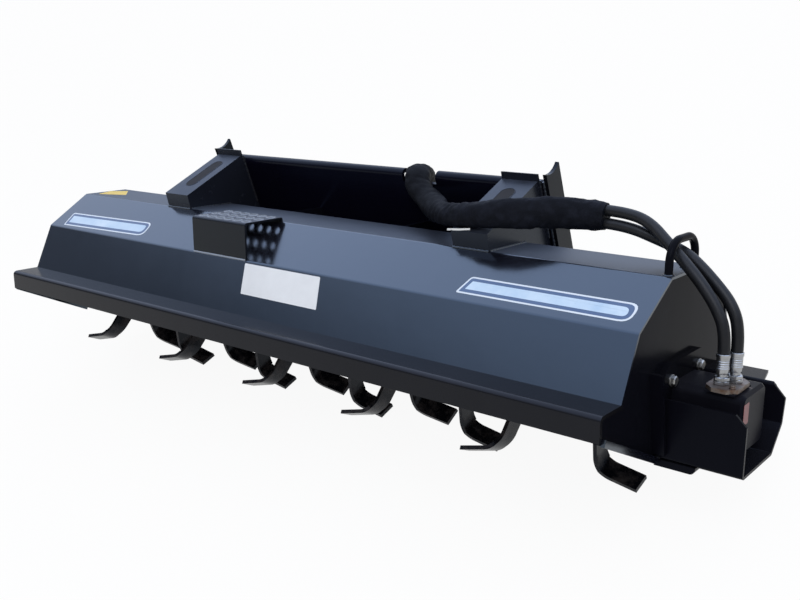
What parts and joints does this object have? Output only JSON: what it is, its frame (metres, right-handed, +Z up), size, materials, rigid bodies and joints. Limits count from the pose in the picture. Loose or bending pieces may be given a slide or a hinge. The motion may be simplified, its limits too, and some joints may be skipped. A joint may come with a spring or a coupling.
{
  "type": "hydraulic rotary tiller for a loader",
  "caption": "Hydraulic rotary tiller carried by a loader: a tined rotor under a bent-sheet hood, driven by a motor at one end, with an attach plate and hoses.",
  "frame": {"origin": "bottom centre of the machine as parked on its tines and the feet of its attach plate, without the hoses' sleeve, ends and couplers", "axes": "+X along the rotor towards the motor, +Y towards the loader, +Z up"},
  "size_m": [2.101, 0.6976, 0.5948],
  "materials": {
    "black_paint": "high gloss",
    "tine_paint": "gloss",
    "hose_rubber": "matte",
    "sleeve_fabric": "woven, matte",
    "zinc_steel": "yellowish zinc plate",
    "bare_steel": "machined",
    "rusty_steel": "light surface rust",
    "motor_paint": "satin",
    "cast_housing": "painted"
  },
  "bodies": {
    "hood_frame": {"attach_plate": "black_paint", "bearing_housing": "cast_housing", "brace_left": "black_paint", "brace_right": "black_paint", "coupler_a": "zinc_steel", "coupler_b": "zinc_steel", "end_plate_left": "black_paint", "end_plate_right": "black_paint", "fitting_a": "zinc_steel", "fitting_b": "zinc_steel", "front_lip": "black_paint", "guard_foot": "black_paint", "guard_rib": "black_paint", "hood": "black_paint", "hose_a": "hose_rubber", "hose_b": "hose_rubber", "hose_loop": "black_paint", "hose_sleeve": "sleeve_fabric", "hose_tail_a": "hose_rubber", "hose_tail_b": "hose_rubber", "motor": "motor_paint", "motor_flange": "black_paint", "motor_guard": "black_paint", "plate_gusset_left": "black_paint", "plate_gusset_right": "black_paint", "port_block": "motor_paint", "port_plate": "rusty_steel", "runner_left": "black_paint", "runner_right": "black_paint", "side_flange_left": "black_paint", "side_flange_right": "black_paint", "step": "black_paint"},
    "rotor": {"rotor_tube": "black_paint", "drive_stub": "bare_steel", "idle_stub": "bare_steel", "tine_flange_1": "tine_paint", "tine_flange_2": "tine_paint", "tine_flange_3": "tine_paint", "tine_flange_4": "tine_paint", "tine_flange_5": "tine_paint", "tine_flange_6": "tine_paint", "tine_flange_7": "tine_paint", "tine_flange_8": "tine_paint", "tine_flange_9": "tine_paint", "tine_flange_10": "tine_paint"}
  },
  "joints": [
    {"name": "rotor_spin", "type": "hinge", "parent": "hood_frame", "child": "rotor", "pos_m": [-0.0685, -0.01788, 0.22131], "axis": [1, 0, 0], "continuous": true}
  ]
}
